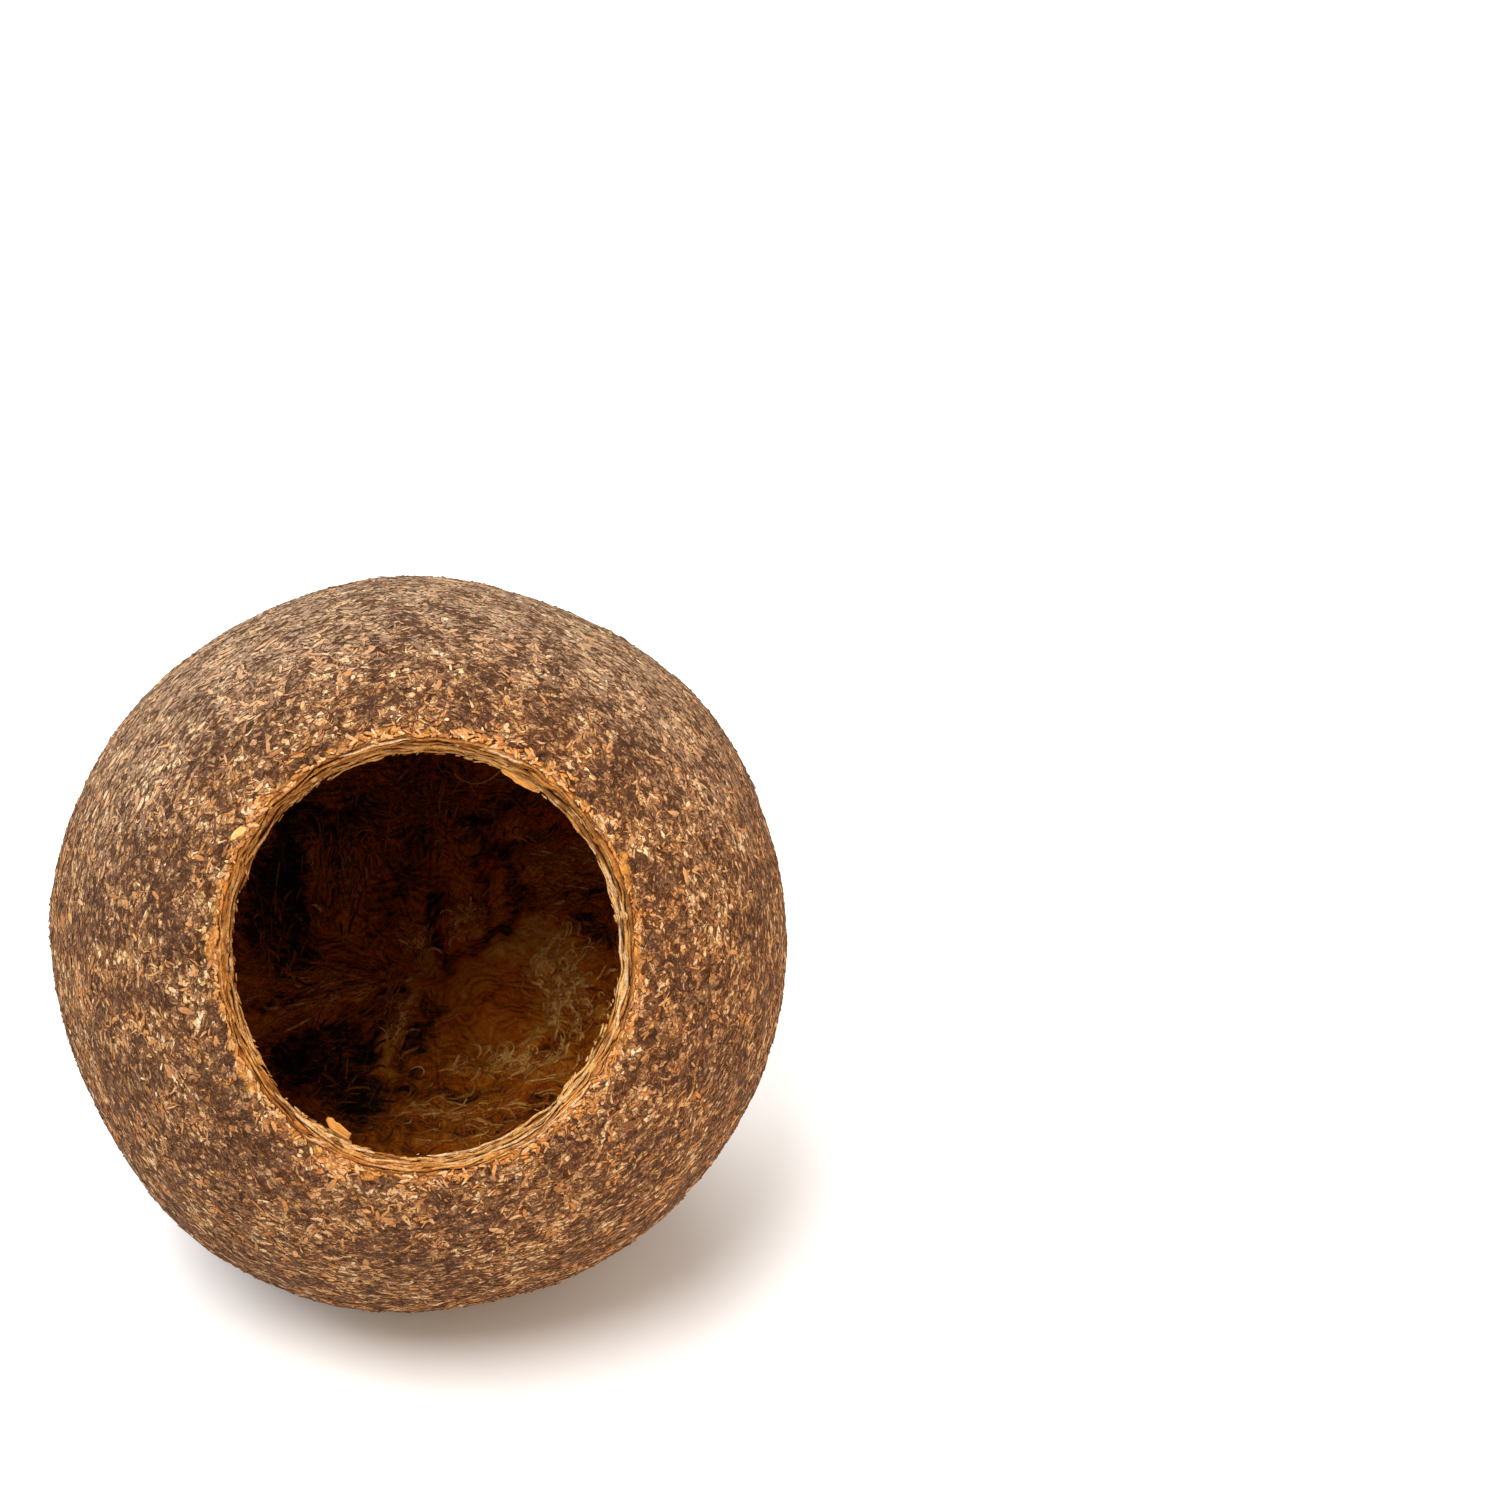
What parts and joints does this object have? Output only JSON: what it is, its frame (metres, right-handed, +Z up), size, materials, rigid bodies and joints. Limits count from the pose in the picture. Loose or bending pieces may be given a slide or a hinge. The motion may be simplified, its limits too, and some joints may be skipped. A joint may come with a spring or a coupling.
{
  "type": "wood apple pod",
  "caption": "Hollow dried wood apple shell, nearly round, with a wide cut mouth in its upper front, lying on a small flat spot; holds moss, beads, dried flowers or a small light.",
  "frame": {"origin": "on the resting plane, at the middle of the bounding box's bottom, under the middle of the round body", "axes": "+Z up, square to the flat spot that the pod lies on; the mouth's axis leans from straight up towards -Y and points 31 degrees above the horizontal; +X is to the right of someone who looks into the mouth"},
  "size_m": [0.0751, 0.0751, 0.074],
  "materials": {
    "husk": "dry, matt and corky outside, fibrous inside"
  },
  "bodies": {
    "root": {"pod": "husk"}
  },
  "joints": []
}
